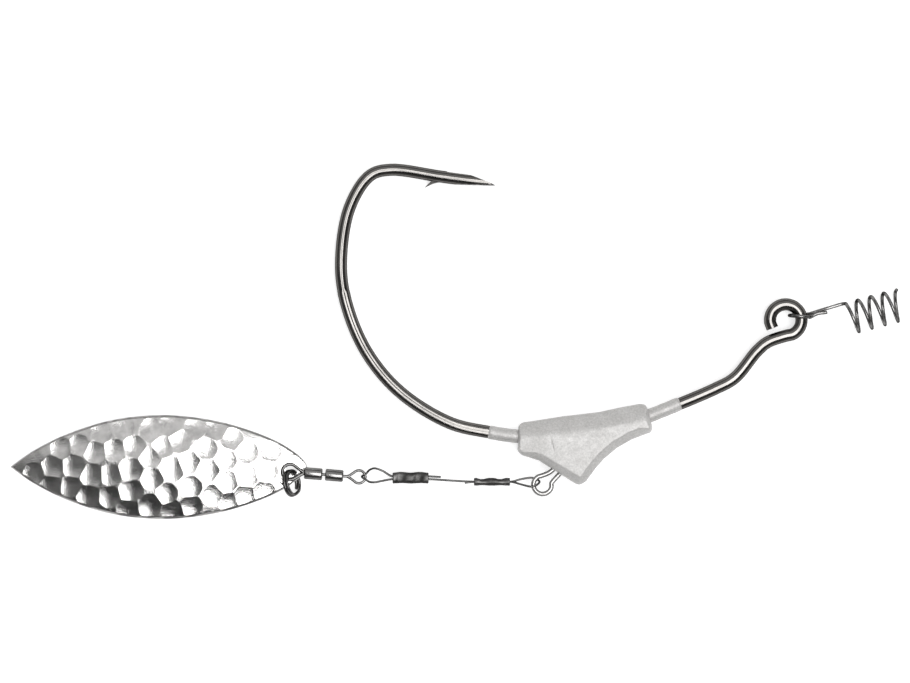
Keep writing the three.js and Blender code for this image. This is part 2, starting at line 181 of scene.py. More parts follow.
def unit(v):
    return v / np.linalg.norm(v)


def path_frames(path, flat_normal=None):
    """Tangent, side and up at each point: up stays flat_normal, or turns as little as it can."""
    tangents = np.gradient(path, axis=0)
    tangents /= np.linalg.norm(tangents, axis=1)[:, None]
    if flat_normal is not None:
        ups = np.tile(np.array(flat_normal, float), (len(path), 1))
    else:
        seed = (0, 0, 1) if abs(tangents[0][2]) < 0.9 else (1, 0, 0)
        ups = np.empty_like(path)
        up = unit(np.cross(np.cross(tangents[0], seed), tangents[0]))
        for i, tangent in enumerate(tangents):
            up = unit(up - tangent * up.dot(tangent))
            ups[i] = up
    sides = np.cross(ups, tangents)
    return tangents, sides, ups


def rings_along(path, section, flat_normal=None):
    """One ring of points at each step; section(station) gives its (side, up) offsets."""
    _, sides, ups = path_frames(path, flat_normal)
    travelled = np.concatenate([[0], np.cumsum(np.linalg.norm(np.diff(path, axis=0), axis=1))])
    rings = []
    for i, station in enumerate(travelled):
        offsets = section(station, travelled[-1])
        rings.append(path[i] + offsets[:, :1] * sides[i] + offsets[:, 1:] * ups[i])
    return rings


def skin(rings, capped=True):
    """Points and faces of a closed skin over rings of equal length."""
    count = len(rings[0])
    faces = []
    for i in range(len(rings) - 1):
        a, b = i * count, (i + 1) * count
        for k in range(count):
            n = (k + 1) % count
            faces.append((a + k, a + n, b + n, b + k))
    if capped:
        faces.append(tuple(range(count - 1, -1, -1)))
        faces.append(tuple(range((len(rings) - 1) * count, len(rings) * count)))
    return np.vstack(rings), faces


def ring_skin(rings):
    """Points and faces over rings whose last one joins the first again."""
    count = len(rings[0])
    total = len(rings)
    faces = []
    for i in range(total):
        a, b = i * count, ((i + 1) % total) * count
        for k in range(count):
            n = (k + 1) % count
            faces.append((a + k, a + n, b + n, b + k))
    return np.vstack(rings), faces


def round_section(radius, sides=24):
    angles = np.linspace(0, 2 * np.pi, sides, endpoint=False)
    return np.column_stack([radius * np.cos(angles), radius * np.sin(angles)])


def soft_end(station, length, radius):
    """Shrinks a wire's ends to a small rounded edge."""
    near = min(station, length - station)
    reach = 0.35 * radius
    if near >= reach:
        return 1.0
    return 0.72 + 0.28 * math.sqrt(max(0.0, 1 - (1 - near / reach) ** 2))


def make(name, parts, body, matrix, material, replaces=(), crease=35):
    """An object from (points, faces) parts in millimetres, placed by matrix, riding on a body."""
    mesh = bmesh.new()
    for points, faces in parts:
        placed = np.asarray(points) @ matrix[:3, :3].T + matrix[:3, 3]
        verts = [mesh.verts.new(Vector(p) * MM) for p in placed]
        for face in faces:
            mesh.faces.new([verts[i] for i in face])
    bmesh.ops.recalc_face_normals(mesh, faces=mesh.faces)
    finish_mesh(mesh, crease)
    data = bpy.data.meshes.new(name)
    mesh.to_mesh(data)
    mesh.free()
    piece = bpy.data.objects.new(name, data)
    bpy.context.scene.collection.objects.link(piece)
    data.materials.append(material)
    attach(piece, body)
    if replaces:
        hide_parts(*replaces)
    return piece


def finish_mesh(mesh, crease):
    limit = math.radians(crease)
    for face in mesh.faces:
        face.smooth = True
    for edge in mesh.edges:
        edge.smooth = not (edge.is_manifold and edge.calc_face_angle(0) > limit)


def boolean(piece, tool, operation):
    """Joins or cuts piece with tool, keeps the result in the piece's own mesh, and drops the tool."""
    modifier = piece.modifiers.new("join", "BOOLEAN")
    modifier.operation = operation
    modifier.solver = "EXACT"
    modifier.object = tool
    graph = bpy.context.evaluated_depsgraph_get()
    result = bpy.data.meshes.new_from_object(piece.evaluated_get(graph))
    piece.modifiers.clear()
    piece.data = result
    bpy.data.objects.remove(tool)


def loose_object(name, points, faces, matrix):
    """A closed tool for a boolean, which removes it once it has been used."""
    mesh = bmesh.new()
    placed = np.asarray(points) @ matrix[:3, :3].T + matrix[:3, 3]
    verts = [mesh.verts.new(Vector(p) * MM) for p in placed]
    for face in faces:
        mesh.faces.new([verts[i] for i in face])
    bmesh.ops.recalc_face_normals(mesh, faces=mesh.faces)
    data = bpy.data.meshes.new(name)
    mesh.to_mesh(data)
    mesh.free()
    tool = bpy.data.objects.new(name, data)
    bpy.context.scene.collection.objects.link(tool)
    return tool


def prism(name, bottom, top, matrix):
    """A closed tool between two outlines with equal numbers of corners."""
    count = len(bottom)
    faces = [tuple(range(count - 1, -1, -1)), tuple(range(count, 2 * count))]
    faces += [(k, (k + 1) % count, count + (k + 1) % count, count + k) for k in range(count)]
    return loose_object(name, np.array([*bottom, *top], float), faces, matrix)


# Materials -----------------------------------------------------------------------------------


class Shader:
    """A short way to build one node material round a Principled shader."""

    def __init__(self, name, **uniform):
        self.material = bpy.data.materials.new(name)
        self.material.use_nodes = True
        self.tree = self.material.node_tree
        self.principled = self.tree.nodes["Principled BSDF"]
        for socket, value in uniform.items():
            self.principled.inputs[socket.replace("_", " ")].default_value = value
        self.coordinates = self.tree.nodes.new("ShaderNodeTexCoord")

    def node(self, kind, **inputs):
        made = self.tree.nodes.new(kind)
        for socket, value in inputs.items():
            target = made.inputs[socket]
            if isinstance(value, bpy.types.NodeSocket):
                self.tree.links.new(value, target)
            else:
                target.default_value = value
        return made

    def noise(self, scale, detail=3.0, roughness=0.55):
        vector = self.coordinates.outputs["Object"]
        settings = {"Vector": vector, "Scale": scale, "Detail": detail, "Roughness": roughness}
        return self.node("ShaderNodeTexNoise", **settings).outputs["Fac"]

    def ramp(self, factor, stops):
        made = self.tree.nodes.new("ShaderNodeValToRGB")
        elements = made.color_ramp.elements
        while len(elements) < len(stops):
            elements.new(0.5)
        for element, (position, colour) in zip(elements, stops):
            element.position = position
            element.color = (*colour, 1.0)
        self.tree.links.new(factor, made.inputs["Fac"])
        return made.outputs["Color"]

    def connect(self, output, socket):
        self.tree.links.new(output, self.principled.inputs[socket])

    def span(self, factor, low, high):
        """Maps a noise, most of which lies between 0.3 and 0.7, to the range from low to high."""
        made = self.tree.nodes.new("ShaderNodeMapRange")
        ends = {"From Min": 0.3, "From Max": 0.7, "To Min": low, "To Max": high}
        for socket, value in ends.items():
            made.inputs[socket].default_value = value
        self.tree.links.new(factor, made.inputs["Value"])
        return made.outputs["Result"]

    def bump(self, height, strength, distance):
        made = self.node("ShaderNodeBump", Strength=strength, Distance=distance, Height=height)
        self.connect(made.outputs["Normal"], "Normal")


def grey(value, warm=0.0):
    return (value * (1 + warm), value, value * (1 - warm))


def metal(name, dark, light, roughness, grain, edge=0.3, bump=0.06, depth=0.00002, warm=0.015):
    """Bare or plated metal: a mottled tone, uneven polish and a fine drawn or tumbled surface."""
    shader = Shader(name, Metallic=1.0, Specular_Tint=(edge, edge, edge, 1.0))
    mottle = shader.noise(grain * 260, 4.0)
    shader.connect(shader.ramp(mottle, [(0.32, grey(dark, warm)), (0.68, grey(light, warm))]), "Base Color")
    polish = shader.noise(grain * 900, 3.0)
    shader.connect(shader.span(polish, roughness[0], roughness[1]), "Roughness")
    fine = shader.noise(grain * 4000, 2.0)
    shader.bump(fine, bump, depth)
    return shader.material


def pearl_paint():
    """Satin pearl paint over cast lead: sandy grain, a little sparkle and dulled patches."""
    shader = Shader("pearl_paint", Metallic=0.15, Coat_Weight=0.2, Coat_Roughness=0.35)
    patches = shader.noise(260, 4.0)
    tone = shader.ramp(patches, [(0.3, (0.40, 0.392, 0.383)), (0.7, (0.47, 0.463, 0.455))])
    grain = shader.noise(3200, 4.0, 0.65)
    grained = shader.node("ShaderNodeMix", Factor=0.5)
    grained.data_type = "RGBA"
    grained.blend_type = "OVERLAY"
    shader.tree.links.new(tone, grained.inputs["A"])
    shader.tree.links.new(grain, grained.inputs["B"])
    shader.connect(grained.outputs["Result"], "Base Color")
    shader.connect(shader.span(shader.noise(700, 3.0), 0.36, 0.52), "Roughness")
    shader.bump(shader.noise(2600, 4.0), 0.35, 0.00008)
    return shader.material


# Lights, floor and camera --------------------------------------------------------------------

FRAME_WIDTH = 910
FRAME_SCALE = 0.18
SENSOR_WIDTH = 36.0
CAMERA_HEIGHT = 0.8
CAMERA_SIDESTEP = 0.0001
FOCUS_HEIGHT = 3
LIGHT_HEIGHT = 1.25
FLOOR_REACH = 6.0
FLOOR_DROP = 0.05
FLOOR_TONE = 0.55
FLOOR_MOTTLE = 1.02
FLOOR_GLOW = 0.6
HORIZON_TONE = 0.42
ZENITH_TONE = 0.045
ZENITH_FROM = 0.72
PANELS = {
    "key": {"x": (-0.1, 0.64), "y": (-0.62, 0.33), "radiance": 7.5},
    "upper_left": {"x": (-1.3, 0.0), "y": (0.12, 2.4), "radiance": 0.85},
    "upper_right": {"x": (0.0, 1.4), "y": (0.5, 2.4), "radiance": 0.85},
    "lower_left": {"x": (-1.5, -0.3), "y": (-0.6, 0.0), "radiance": 0.16},
}


def camera():
    data = bpy.data.cameras.new("camera")
    data.sensor_width = SENSOR_WIDTH
    distance = CAMERA_HEIGHT - FOCUS_HEIGHT * MM
    data.lens = SENSOR_WIDTH * distance / (FRAME_WIDTH * FRAME_SCALE * MM)
    data.clip_start = 0.01
    data.clip_end = 20
    made = bpy.data.objects.new("camera", data)
    made.location = (CAMERA_SIDESTEP, 0, CAMERA_HEIGHT)
    bpy.context.scene.collection.objects.link(made)
    bpy.context.scene.camera = made


def panel(name, x, y, radiance):
    """A flat soft light overhead, with its ends along X and Y in metres."""
    (left, right), (low, high) = x, y
    data = bpy.data.lights.new(name, "AREA")
    data.shape = "RECTANGLE"
    data.size, data.size_y = right - left, high - low
    data.energy = radiance * math.pi * data.size * data.size_y
    made = bpy.data.objects.new(name, data)
    made.location = ((left + right) / 2, (low + high) / 2, LIGHT_HEIGHT)
    bpy.context.scene.collection.objects.link(made)


def floor():
    shader = Shader("floor", Roughness=0.8, Emission_Color=(1, 1, 1, 1), Emission_Strength=FLOOR_GLOW)
    stops = [(0.3, grey(FLOOR_TONE)), (0.7, grey(FLOOR_TONE * FLOOR_MOTTLE))]
    shader.connect(shader.ramp(shader.noise(6.0, 2.0), stops), "Base Color")
    reach = FLOOR_REACH
    data = bpy.data.meshes.new("floor")
    corners = [(-reach, -reach, 0), (reach, -reach, 0), (reach, reach, 0), (-reach, reach, 0)]
    data.from_pydata(corners, [], [(0, 1, 2, 3)])
    data.materials.append(shader.material)
    made = bpy.data.objects.new("floor", data)
    made.location.z = -FLOOR_DROP * MM
    bpy.context.scene.collection.objects.link(made)


def studio():
    """Overhead panels, and a surround that fades from pale at the horizon to dark overhead."""
    scene = bpy.context.scene
    scene.view_settings.view_transform = "Standard"
    world = bpy.data.worlds.new("studio")
    world.use_nodes = True
    background = world.node_tree.nodes["Background"]
    nodes, links = world.node_tree.nodes, world.node_tree.links
    direction = nodes.new("ShaderNodeTexCoord")
    parts = nodes.new("ShaderNodeSeparateXYZ")
    fade = nodes.new("ShaderNodeValToRGB")
    links.new(direction.outputs["Generated"], parts.inputs["Vector"])
    links.new(parts.outputs["Z"], fade.inputs["Fac"])
    links.new(fade.outputs["Color"], background.inputs["Color"])
    stops = fade.color_ramp.elements
    stops[0].color = (*grey(HORIZON_TONE), 1)
    stops[1].position = ZENITH_FROM
    stops[1].color = (*grey(ZENITH_TONE), 1)
    scene.world = world
    for name, settings in PANELS.items():
        panel(name, **settings)


# Hook ----------------------------------------------------------------------------------------

SHANK_IN_WEIGHT = [(6.4, -16.4), (11.8, -17.15), (20, -17.3), (28, -15.9), (35.2, -13.4)]
BEND = [
    (9, 28.4), (2, 29.15), (-2.6, 29.75), (-11.6, 30.95), (-15.2, 29.9), (-18.9, 24),
    (-20.4, 13.9), (-19.4, 6.7), (-15.8, -1.9), (-9.8, -9.1), (-0.8, -14.7),
]
Z_BEND = [(46.9, -8.6), (50.5, -6.6), (54.5, -1.8), (56.4, -0.2)]
POINT_TOP = [(-1.3, 30.55), (3, 29.96), (6.4, 28.56), (7.3, 28.13)]
POINT_BELLY = [(0.13, 28.3), (7.3, 28.13)]
FACET_HEEL = np.array((-1.9, 30.0))
FORGED_TOP = 9.2
FORGED_RIGHT = 7.6
FORGED_TOP_STEP = 0.5
FORGED_RIGHT_STEP = 1.2
FORGED_SPREAD = 0.03
DRAW_LINE_DEPTH = 0.018
DRAW_LINE_HALF_ANGLE = 0.09
DRAW_LINE_ANGLES = (-0.14, -0.09, -0.04, 0.04, 0.09, 0.14)
HOOK_STEP = 0.22
POINT_STEP = 0.05
HOOK_SIDES = 32
HOOK_CREASE = 24
POINT_LOW_Y = 20


def hook_route():
    eye = arc(EYE_CENTRE, EYE_RADIUS, 270, 572, 25)
    return spline([*BEND, *SHANK_IN_WEIGHT, *Z_BEND, *eye], HOOK_STEP)


def forged_share(x, y):
    """1 on the forged lower bend, 0 on the round wire, with a short step between them."""
    below = np.clip((FORGED_TOP - y) / FORGED_TOP_STEP, 0, 1)
    left = np.clip((FORGED_RIGHT - x) / FORGED_RIGHT_STEP, 0, 1)
    return below * left


def sharpened(points):
    """Presses a wire's points to the cutting point's outline in the hook's plane; its flanks stay round."""
    shaped = points.copy()
    x, y = shaped[:, 0], shaped[:, 1]
    near = (y > POINT_LOW_Y) & (x > POINT_TOP[0][0])
    top = np.interp(x, *np.array(POINT_TOP).T)
    belly = np.interp(x, *np.array(POINT_BELLY).T, left=-1e3)
    y[near] = np.minimum(y[near], top[near])
    y[near] = np.maximum(y[near], np.minimum(belly[near], top[near]))
    return shaped


def hook_section(share, angles):
    """Side and up offsets of the wire, pressed flat by the forging share, with a fine line along it."""
    flat = HOOK_WIRE + (FORGED_HALF - HOOK_WIRE) * share
    across = HOOK_WIRE * (1 + FORGED_SPREAD * share) * np.cos(angles)
    up = np.clip(HOOK_WIRE * np.sin(angles), -flat, flat)
    line = np.exp(-((across / (HOOK_WIRE * DRAW_LINE_HALF_ANGLE)) ** 2))
    return across, up - np.sign(up) * DRAW_LINE_DEPTH * line


def hook(material):
    route = hook_route()
    start = int(np.argmax(route[:, 0] < POINT_TOP[-1][0] - 0.02))
    bend = start + int(np.argmax(route[start:, 0] < FACET_HEEL[0] - 1.5))
    route = np.vstack([even_steps(route[start:bend], POINT_STEP), route[bend:]])
    _, sides, ups = path_frames(route, (0, 0, 1))
    angles = np.linspace(0, 2 * np.pi, HOOK_SIDES, endpoint=False)
    top = np.pi / 2 + np.array(DRAW_LINE_ANGLES)
    angles = np.sort(np.concatenate([angles, top, top + np.pi]))
    rings = []
    for i, centre in enumerate(route):
        across, up = hook_section(forged_share(centre[0], centre[1]), angles)
        rings.append(sharpened(centre + across[:, None] * sides[i] + up[:, None] * ups[i]))
    end = route[-1]
    last = rings[-1]
    for scale in (0.94, 0.8):
        rings.append(end + (last - end) * scale)
    wire = [skin(rings)]
    piece = make("hook_body", wire, "hook", HOOK_PLANE, material, ["hook"], HOOK_CREASE)
    boolean(piece, barb(), "UNION")
    creased(piece, HOOK_CREASE)
    return piece


BARB = [
    (-3.4, 29.4, 0.34), (-4.1, 28.95, 0.3), (-4.8, 28.3, 0.2), (-5.4, 27.66, 0.04), (-4.7, 28.02, 0.2),
    (-3.9, 28.4, 0.32), (-3.1, 28.62, 0.36), (-2.3, 28.75, 0.36), (-1.2, 29.3, 0.4),
]


def barb():
    """A thin splinter raised from the wire's belly behind the point."""
    bottom = [(x, y, -half) for x, y, half in BARB]
    return prism("barb_tool", bottom, BARB, HOOK_PLANE)


def creased(piece, angle):
    data = bmesh.new()
    data.from_mesh(piece.data)
    finish_mesh(data, angle)
    data.to_mesh(piece.data)
    data.free()


def shank_paint(material):
    """The weight's paint runs a little way along the shank on both sides of the casting."""
    route = spline([(-0.8, -14.7), *SHANK_IN_WEIGHT, (46.9, -8.6)], 0.15)
    parts = []
    for low, high in ((6.15, 12.8), (34.2, 40.7)):
        stretch = route[(route[:, 0] > low) & (route[:, 0] < high)]

        def coat(station, length):
            near = min(station, length - station)
            radius = PAINT_RADIUS - 0.12 * max(0.0, 1 - near / 0.35) ** 2
            ripple = 0.015 * math.sin(3.1 * station + low)
            return round_section(radius + ripple, 40)

        parts.append(skin(rings_along(stretch, coat, (0, 0, 1))))
    return make("shank_paint", parts, "hook", HOOK_PLANE, material)


# Keel weight and hanger ----------------------------------------------------------------------

WEIGHT_OUTLINE = [
    (11.4, -19.6), (12.2, -20.5), (15.2, -21.45), (18, -23.2), (21.2, -25.25), (22.5, -25.8),
    (23.7, -25.2), (25.4, -22.9), (26.9, -21.2), (29.3, -19.2), (31.9, -17.7), (35.3, -16.4),
    (35.6, -15.6), (34.9, -12.6), (34.3, -11.5), (33.2, -11.35), (30.2, -11.9), (26, -12.8),
    (19.2, -13.6), (12.3, -14.7), (11.6, -15.3),
]


def smooth_min(a, b, soft):
    mix = np.clip(0.5 + 0.5 * (b - a) / soft, 0, 1)
    return b * (1 - mix) + a * mix - soft * mix * (1 - mix)


def rounded_loop(points, spacing):
    """A closed smooth curve through the points, with corners kept fairly tight."""
    doubled = []
    for (x0, y0), (x1, y1) in zip(points, points[1:] + points[:1]):
        doubled.append((x0, y0))
        if math.hypot(x1 - x0, y1 - y0) > 2.2:
            for share in (0.16, 0.84):
                doubled.append((x0 + (x1 - x0) * share, y0 + (y1 - y0) * share))
    return spline(doubled, spacing, closed=True)[:, :2]


def distance_to_loop(points, loop):
    gaps = np.linalg.norm(points[:, None, :] - loop[None, :, :], axis=2)
    return gaps.min(axis=1)


def weight_height(points, loop):
    """Half thickness of the casting: two flat flanks, a slanting upper facet and bevelled lower edges."""
    x, y = points.T
    inset = distance_to_loop(points, loop)
    ends = np.clip(np.maximum((14.5 - x) / 2.5, (x - 33.2) / 2), 0, 1)
    bevel_width = WEIGHT_BEVEL_WIDTH * (1 - 0.62 * ends)
    bevel = WEIGHT_EDGE_HALF + inset * (WEIGHT_HALF - WEIGHT_EDGE_HALF) / bevel_width
    edge_round = np.sqrt(np.clip(1 - (1 - np.clip(inset / 0.35, 0, 1)) ** 2, 0, 1))
    ridge = np.array(RIDGE_RIGHT) - np.array(RIDGE_LEFT)
    away = unit(np.array((-ridge[1], ridge[0])))
    above = (points - np.array(RIDGE_LEFT)) @ away
    facet = WEIGHT_HALF - FACET_FALL * above
    left_flank = WEIGHT_HALF - LEFT_FLANK_FALL * (21.2 - x - 0.18 * (y + 16.5))
    height = smooth_min(bevel, facet, 0.35)
    height = smooth_min(height, left_flank, 0.3)
    height = smooth_min(height, np.full_like(height, WEIGHT_HALF), 0.3)
    height = np.where(inset < 0.35, height - 0.3 * (1 - edge_round), height)
    start, end = np.array(SCRATCH[0]), np.array(SCRATCH[1])
    share = np.clip(((points - start) @ (end - start)) / np.dot(end - start, end - start), 0, 1)
    gap = np.linalg.norm(points - (start + share[:, None] * (end - start)), axis=1)
    height = height - 0.09 * np.exp(-((gap / 0.13) ** 2)) * np.sin(np.pi * np.clip(share, 0.1, 0.9))
    return np.clip(height, 0.5, WEIGHT_HALF)


FACET_FALL = 0.5
LEFT_FLANK_FALL = 0.055
SCRATCH = ((17.2, -17.2), (17.9, -19.9))
WEIGHT_SPINE = ((15.0, -18.1), (32.5, -14.6))
WEIGHT_KEEL = (22.7, -22.6)


def weight_core(point):
    """The place inside the outline that a point on it shrinks to: a spine along the shank, with a keel."""
    a, b, keel = np.array(WEIGHT_SPINE[0]), np.array(WEIGHT_SPINE[1]), np.array(WEIGHT_KEEL)
    foot = a + np.clip((point - a) @ (b - a) / ((b - a) @ (b - a)), 0, 1) * (b - a)
    if point[1] > foot[1]:
        return foot
    reach = math.exp(-(((foot[0] - keel[0]) / 3.2) ** 2))
    return foot + 0.55 * reach * (keel - foot)


def keel_weight(material):
    loop = rounded_loop(WEIGHT_OUTLINE, 0.12)
    core = np.array([weight_core(point) for point in loop])
    levels = np.concatenate([np.linspace(0, 0.1, 10), np.linspace(0.115, 1.0, 50)])
    top_rings = []
    for level in levels:
        flat = loop + level * (core - loop)
        top_rings.append(np.column_stack([flat, weight_height(flat, loop)]))
    bottom_rings = [ring * (1, 1, -1) for ring in top_rings]
    rings = [*reversed(bottom_rings), *top_rings]
    parts = [skin(rings)]
    return make("weight_casting", parts, "hook", HOOK_PLANE, material, ["keel_weight"], 60)


def weight_hanger(material):
    ring = arc(HANGER_CENTRE, HANGER_RADIUS, 95, 370, 27)
    first_leg = [(20.2, -21.1), (18.4, -22.6), (17, -23.7)]
    second_leg = [(18, -24.95), (18.9, -23.95), (20.9, -21.9)]
    route = spline([*first_leg, *ring, *second_leg], 0.1)
    wire = skin(rings_along(route, lambda s, t: round_section(HANGER_WIRE), (0, 0, 1)))
    return make("hanger_wire", [wire], "hook", HOOK_PLANE, material, ["weight_hanger"])


# Leader --------------------------------------------------------------------------------------


def leader_route():
    rear_tag = [(-2.4, -24.45, 0), (-4.6, -24.35, 0)]
    rear_loop = [
        (-11.1, -24.35, 0), (-12.9, -23.35, 0), (-14.4, -22.9, 0), (-15.3, -23.25, -0.42),
        (-15.95, -23.95, -0.62), (-16.62, -24.4, 0), (-15.95, -24.85, 0.62), (-15.3, -25.3, 0.42),
        (-14.4, -25.42, 0), (-12.9, -25.15, 0), (-11.1, -24.85, 0),
    ]
    run = [(-4.6, -24.85, 0), (-0.5, -25.1, 0), (3.5, -25.3, -STRAND_SPACING)]
    front_loop = [
        (10.2, -25.3, -STRAND_SPACING), (12, -24.85, -0.5), (13.9, -24.6, -0.75), (14.7, -24.8, -0.62),
        (15.35, -25.3, 0), (14.75, -25.9, 0.62), (13.9, -26.15, 0.75), (12, -25.75, 0.5),
        (10.2, -25.3, STRAND_SPACING),
    ]
    front_tag = [(3.5, -25.3, STRAND_SPACING), (1.9, -25.5, STRAND_SPACING)]
    return spline([*rear_tag, *rear_loop, *run, *front_loop, *front_tag], 0.09)


def leader_cable(material, matrix):
    angles = np.linspace(0, 2 * np.pi, 36, endpoint=False)

    def stranded(station, length):
        lobes = np.abs(np.cos(0.5 * STRANDS * (angles - 2 * np.pi * station / STRAND_LAY)))
        radius = CABLE * (0.82 + 0.2 * np.sqrt(lobes))
        return np.column_stack([radius * np.cos(angles), radius * np.sin(angles)])

    cable = skin(rings_along(leader_route(), stranded))
    return make("leader_strands", [cable], "leader", matrix, material, ["leader_cable"], 70)


def crimp_sleeve(name, node, centre, wide_up, material, matrix):
    """An oval sleeve pressed in two places by a slanting tool; wide_up turns its broad way upright."""
    angles = np.linspace(0, 2 * np.pi, 56, endpoint=False)
    cosines, sines = np.cos(angles), np.sin(angles)
    square = np.abs(cosines) ** 0.72 * np.sign(cosines)
    half = CRIMP_LENGTH / 2
    outer, inner = [], []
    for s in np.linspace(-half, half, 96):
        lip = 0.06 * max(0, 1 - (half - abs(s)) / 0.22) ** 2
        dents = np.zeros_like(angles)
        for at, slant in CRIMP_DENTS:
            dents += np.exp(-(np.abs((s - at - slant * cosines) / 0.8) ** 3))
        flats = np.maximum(dents.mean(), 0)
        width = CRIMP_HALF_WIDTH * (1 + 0.04 * flats) - lip
        height = CRIMP_HALF_HEIGHT - lip - 0.2 * dents * CRIMP_HALF_HEIGHT * (0.4 + 0.6 * np.abs(sines))
        wave = 0.05 * math.sin(1.9 * s + centre[0])
        outer.append(crimp_ring(centre, s, width * square + wave, height * sines - 0.08 * dents, wide_up))
        bore = np.array(CRIMP_BORE) * (1 - 0.08 * flats)
        inner.append(crimp_ring(centre, s, bore[0] * cosines, bore[1] * sines, wide_up))
    shell = ring_skin([*outer, *reversed(inner)])
    return make(name, [shell], "leader", matrix, material, [node], 30)


CRIMP_DENTS = ((-1.75, 0.45), (1.45, 0.45))


def crimp_ring(centre, s, u, v, wide_up):
    across, up = (v, u) if wide_up else (u, v)
    return np.column_stack([np.full_like(u, centre[0] + s), centre[1] + across, up])


# Swivel --------------------------------------------------------------------------------------


def turned(profile, sides=40, closed=False):
    """A shape turned about X from (radius, x) corners."""
    angles = np.linspace(0, 2 * np.pi, sides, endpoint=False)
    rings = []
    for radius, x in profile:
        rings.append(np.column_stack([np.full(sides, x), radius * np.cos(angles), radius * np.sin(angles)]))
    return ring_skin(rings) if closed else skin(rings)


def fillet(radius, x, size, turn):
    """A rounded outer corner of a turned part; turn is +1 at its far end and -1 at its near end."""
    points = []
    for angle in np.linspace(0, math.pi / 2, 6):
        out = radius - size + size * math.cos(angle)
        points.append((out, x - turn * size + turn * size * math.sin(angle)))
    return points if turn > 0 else points[::-1]


def facing(direction):
    """The swivel's own place, turned end for end for its rear half."""
    flip = np.diag((direction, 1, direction, 1)).astype(float)
    return SWIVEL_PLACE @ flip


def swivel_barrel(name, node, body, direction, material):
    near, far, hole = BARREL["near"], BARREL["far"], BARREL["hole"]
    lip = 0.1
    profile = [(hole, near), (hole + lip, near - 0.02)]
    profile += fillet(BARREL["radius"], near, 0.24, -1)
    profile += fillet(BARREL["radius"], far, 0.24, 1)
    profile += [(hole + lip, far + 0.02), (hole, far), (hole, far - BARREL["wall"])]
    profile += [(BARREL["bore"], far - BARREL["wall"]), (BARREL["bore"], near + BARREL["wall"])]
    profile += [(hole, near + BARREL["wall"])]
    shell = [turned(profile, 48, True)]
    return make(name, shell, body, facing(direction), material, [node], 30)


def swivel_pin(material):
    start = BARREL["near"] + BARREL["wall"] + HEAD["gap"]
    end = start + HEAD["length"]
    profile = [
        (0.3, -end), (HEAD["radius"], -end + 0.1), (HEAD["radius"], -start), (NECK, -start), (NECK, start),
        (HEAD["radius"], start), (HEAD["radius"], end - 0.1), (0.3, end),
    ]
    return make("pin_between_barrels", [turned(profile, 32)], "center_pin", SWIVEL_PLACE, material,
                ["swivel_center_pin"])


def swivel_eye(name, node, body, direction, eye, material):
    """One bent wire: out of the neck, round the eye and back, with both legs closed into the neck."""
    reach = eye["centre"] - eye["neck"]
    tangent = 180 - math.degrees(math.acos(eye["radius"] / reach))
    loop = arc((eye["centre"], eye["side"]), eye["radius"], tangent, -tangent, 14)
    pinch = eye["wire"] * 0.42
    legs_in = [(eye["neck"] - 0.75, pinch * 0.5, 0), (eye["neck"] - 0.2, pinch, 0)]
    legs_out = [(x, -y, z) for x, y, z in reversed(legs_in)]
    route = spline([*legs_in, *loop, *legs_out], 0.06)
    ends = 0.6

    def wire(station, length):
        near = min(station, length - station)
        shrink = 0.62 + 0.38 * min(1.0, near / ends)
        return round_section(eye["wire"] * shrink, 28)

    bent = skin(rings_along(route, wire, (0, 0, 1)))
    head_end = BARREL["far"] - BARREL["wall"] - HEAD["gap"]
    head_start = head_end - HEAD["length"]
    stem = turned([
        (0.3, head_start), (HEAD["radius"], head_start + 0.1), (HEAD["radius"], head_end), (NECK, head_end),
        (NECK * 1.02, eye["neck"] - 0.3), (NECK * 0.8, eye["neck"] + 0.1),
    ], 32)
    return make(name, [bent, stem], body, facing(direction), material, [node])


# Split ring ----------------------------------------------------------------------------------


RING_TURNS = (35, 685, 260)
RING_CROSS_START = 330
RING_CROSS_SPAN = 60


def split_ring(material):
    lean, stand = math.radians(RING["lean"]), math.radians(RING["stand"])
    up = np.array((-math.sin(lean), math.cos(lean), 0))
    side = np.array((-up[1], up[0], 0)) * math.cos(stand)
    front = side + np.array((0, 0, math.sin(stand)))
    normal = np.cross(up, front)
    turns = np.linspace(*RING_TURNS)
    share = np.clip((turns - RING_CROSS_START) / RING_CROSS_SPAN, 0, 1)
    crossed = share * share * (3 - 2 * share)
    angles = np.radians(RING["crossover"] + turns)
    offsets = RING["offset"] * (2 * crossed - 1)
    circle = np.cos(angles)[:, None] * up + np.sin(angles)[:, None] * front
    route = np.array(RING_CENTRE) + RING["radius"] * circle
    route = route + offsets[:, None] * normal
    section_angles = np.linspace(0, 2 * np.pi, 28, endpoint=False)

    def flattened(station, length):
        scale = RING["wire"] * soft_end(station, length, RING["wire"])
        u = np.sign(np.cos(section_angles)) * np.abs(np.cos(section_angles)) ** 0.75
        v = np.sign(np.sin(section_angles)) * np.abs(np.sin(section_angles)) ** 0.75
        return np.column_stack([scale * u, scale * v])

    rings = []
    tangents = np.gradient(route, axis=0)
    travelled = np.concatenate([[0], np.cumsum(np.linalg.norm(np.diff(route, axis=0), axis=1))])
    for i, point in enumerate(route):
        tangent = unit(tangents[i])
        out = unit(np.cross(tangent, normal))
        level = np.cross(out, tangent)
        offsets_here = flattened(travelled[i], travelled[-1])
        rings.append(point + offsets_here[:, :1] * out + offsets_here[:, 1:] * level)
    coils = [skin(rings)]
    return make("ring_coils", coils, "split_ring", TABLE_PLACE, material, ["split_ring"])


# Blade ---------------------------------------------------------------------------------------

